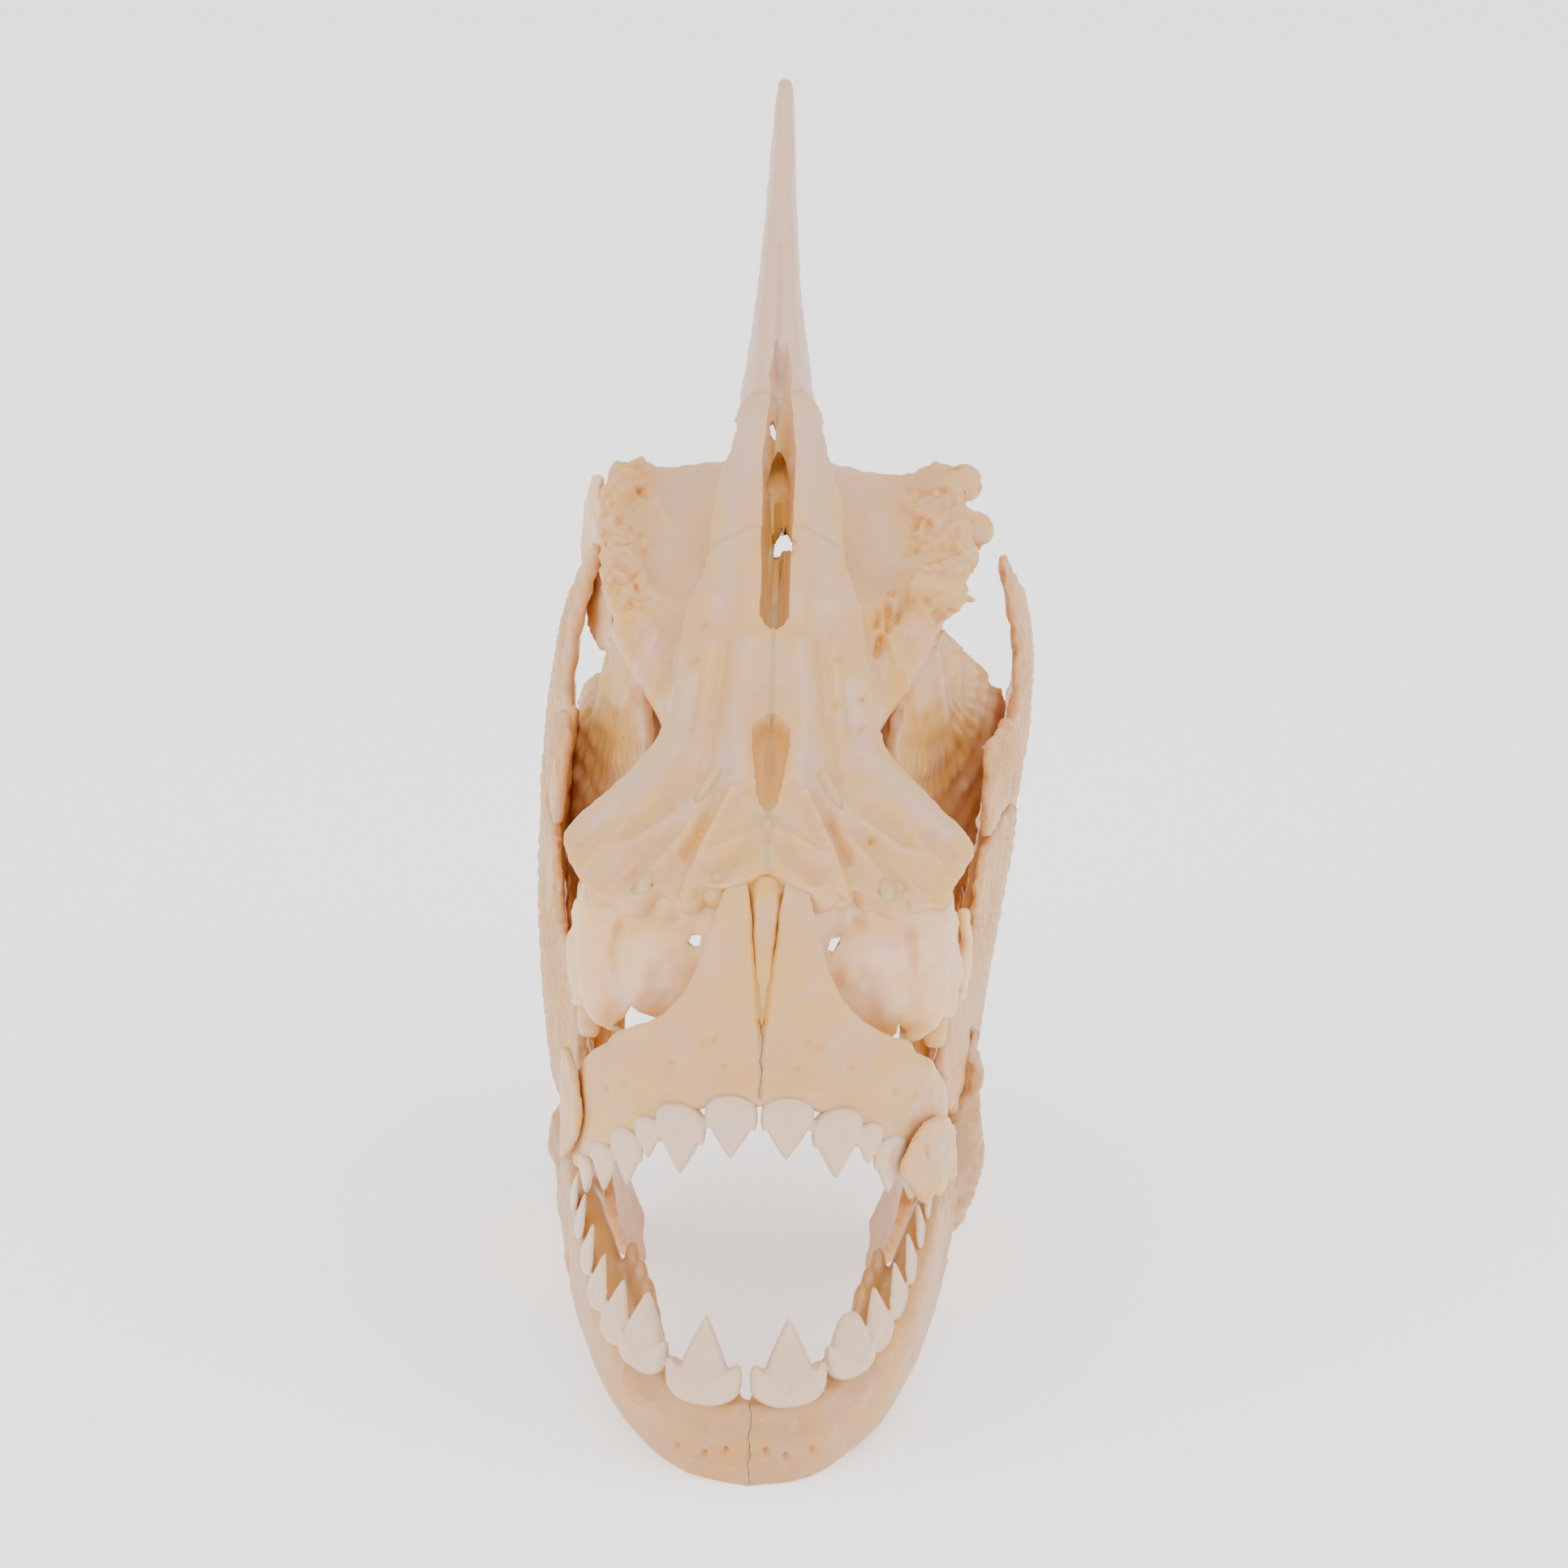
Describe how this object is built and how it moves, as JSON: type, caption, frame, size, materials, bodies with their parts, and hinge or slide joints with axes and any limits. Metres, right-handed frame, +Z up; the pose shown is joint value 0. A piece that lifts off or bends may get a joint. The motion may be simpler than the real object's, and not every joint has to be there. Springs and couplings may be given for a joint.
{
  "type": "piranha skull",
  "caption": "Dried skull of a large piranha, mouth open, with interlocking triangular teeth, a tall crest and flared gill covers, as a still museum model.",
  "frame": {"origin": "middle of the bounding box in plan, at the level of the surface it rests on", "axes": "+Z up along the crest, -Y the way the mouth faces, +X the skull's own left side"},
  "size_m": [0.0359, 0.0719, 0.0846],
  "materials": {
    "dense_bone": "satin dry bone, cream with a pink cast",
    "thin_bone": "thin, slightly see-through bone, yellower",
    "crest_bone": "satin dry bone, slightly darker"
  },
  "bodies": {
    "root": {"anguloarticular_left": "dense_bone", "anguloarticular_right": "dense_bone", "antorbital_left": "thin_bone", "antorbital_right": "thin_bone", "basioccipital": "dense_bone", "braincase": "dense_bone", "dentary_left": "dense_bone", "dentary_right": "dense_bone", "frontal_left": "dense_bone", "frontal_right": "dense_bone", "hyomandibula_left": "thin_bone", "hyomandibula_right": "thin_bone", "infraorbital_3_left": "thin_bone", "infraorbital_3_right": "thin_bone", "infraorbital_4_left": "thin_bone", "infraorbital_4_right": "thin_bone", "interopercle_left": "thin_bone", "interopercle_right": "thin_bone", "interorbital_septum": "thin_bone", "lateral_ethmoid_left": "thin_bone", "lateral_ethmoid_right": "thin_bone", "maxilla_left": "thin_bone", "maxilla_right": "thin_bone", "mesethmoid": "dense_bone", "opercle_left": "thin_bone", "opercle_right": "thin_bone", "parasphenoid": "dense_bone", "parietal_left": "dense_bone", "parietal_right": "dense_bone", "posttemporal_right": "thin_bone", "premaxilla_left": "dense_bone", "premaxilla_right": "dense_bone", "preopercle_left": "thin_bone", "preopercle_right": "thin_bone", "pterygoid_left": "thin_bone", "pterygoid_right": "thin_bone", "quadrate_left": "thin_bone", "quadrate_right": "thin_bone", "subopercle_left": "thin_bone", "subopercle_right": "thin_bone", "supraoccipital_crest": "crest_bone"}
  },
  "joints": []
}
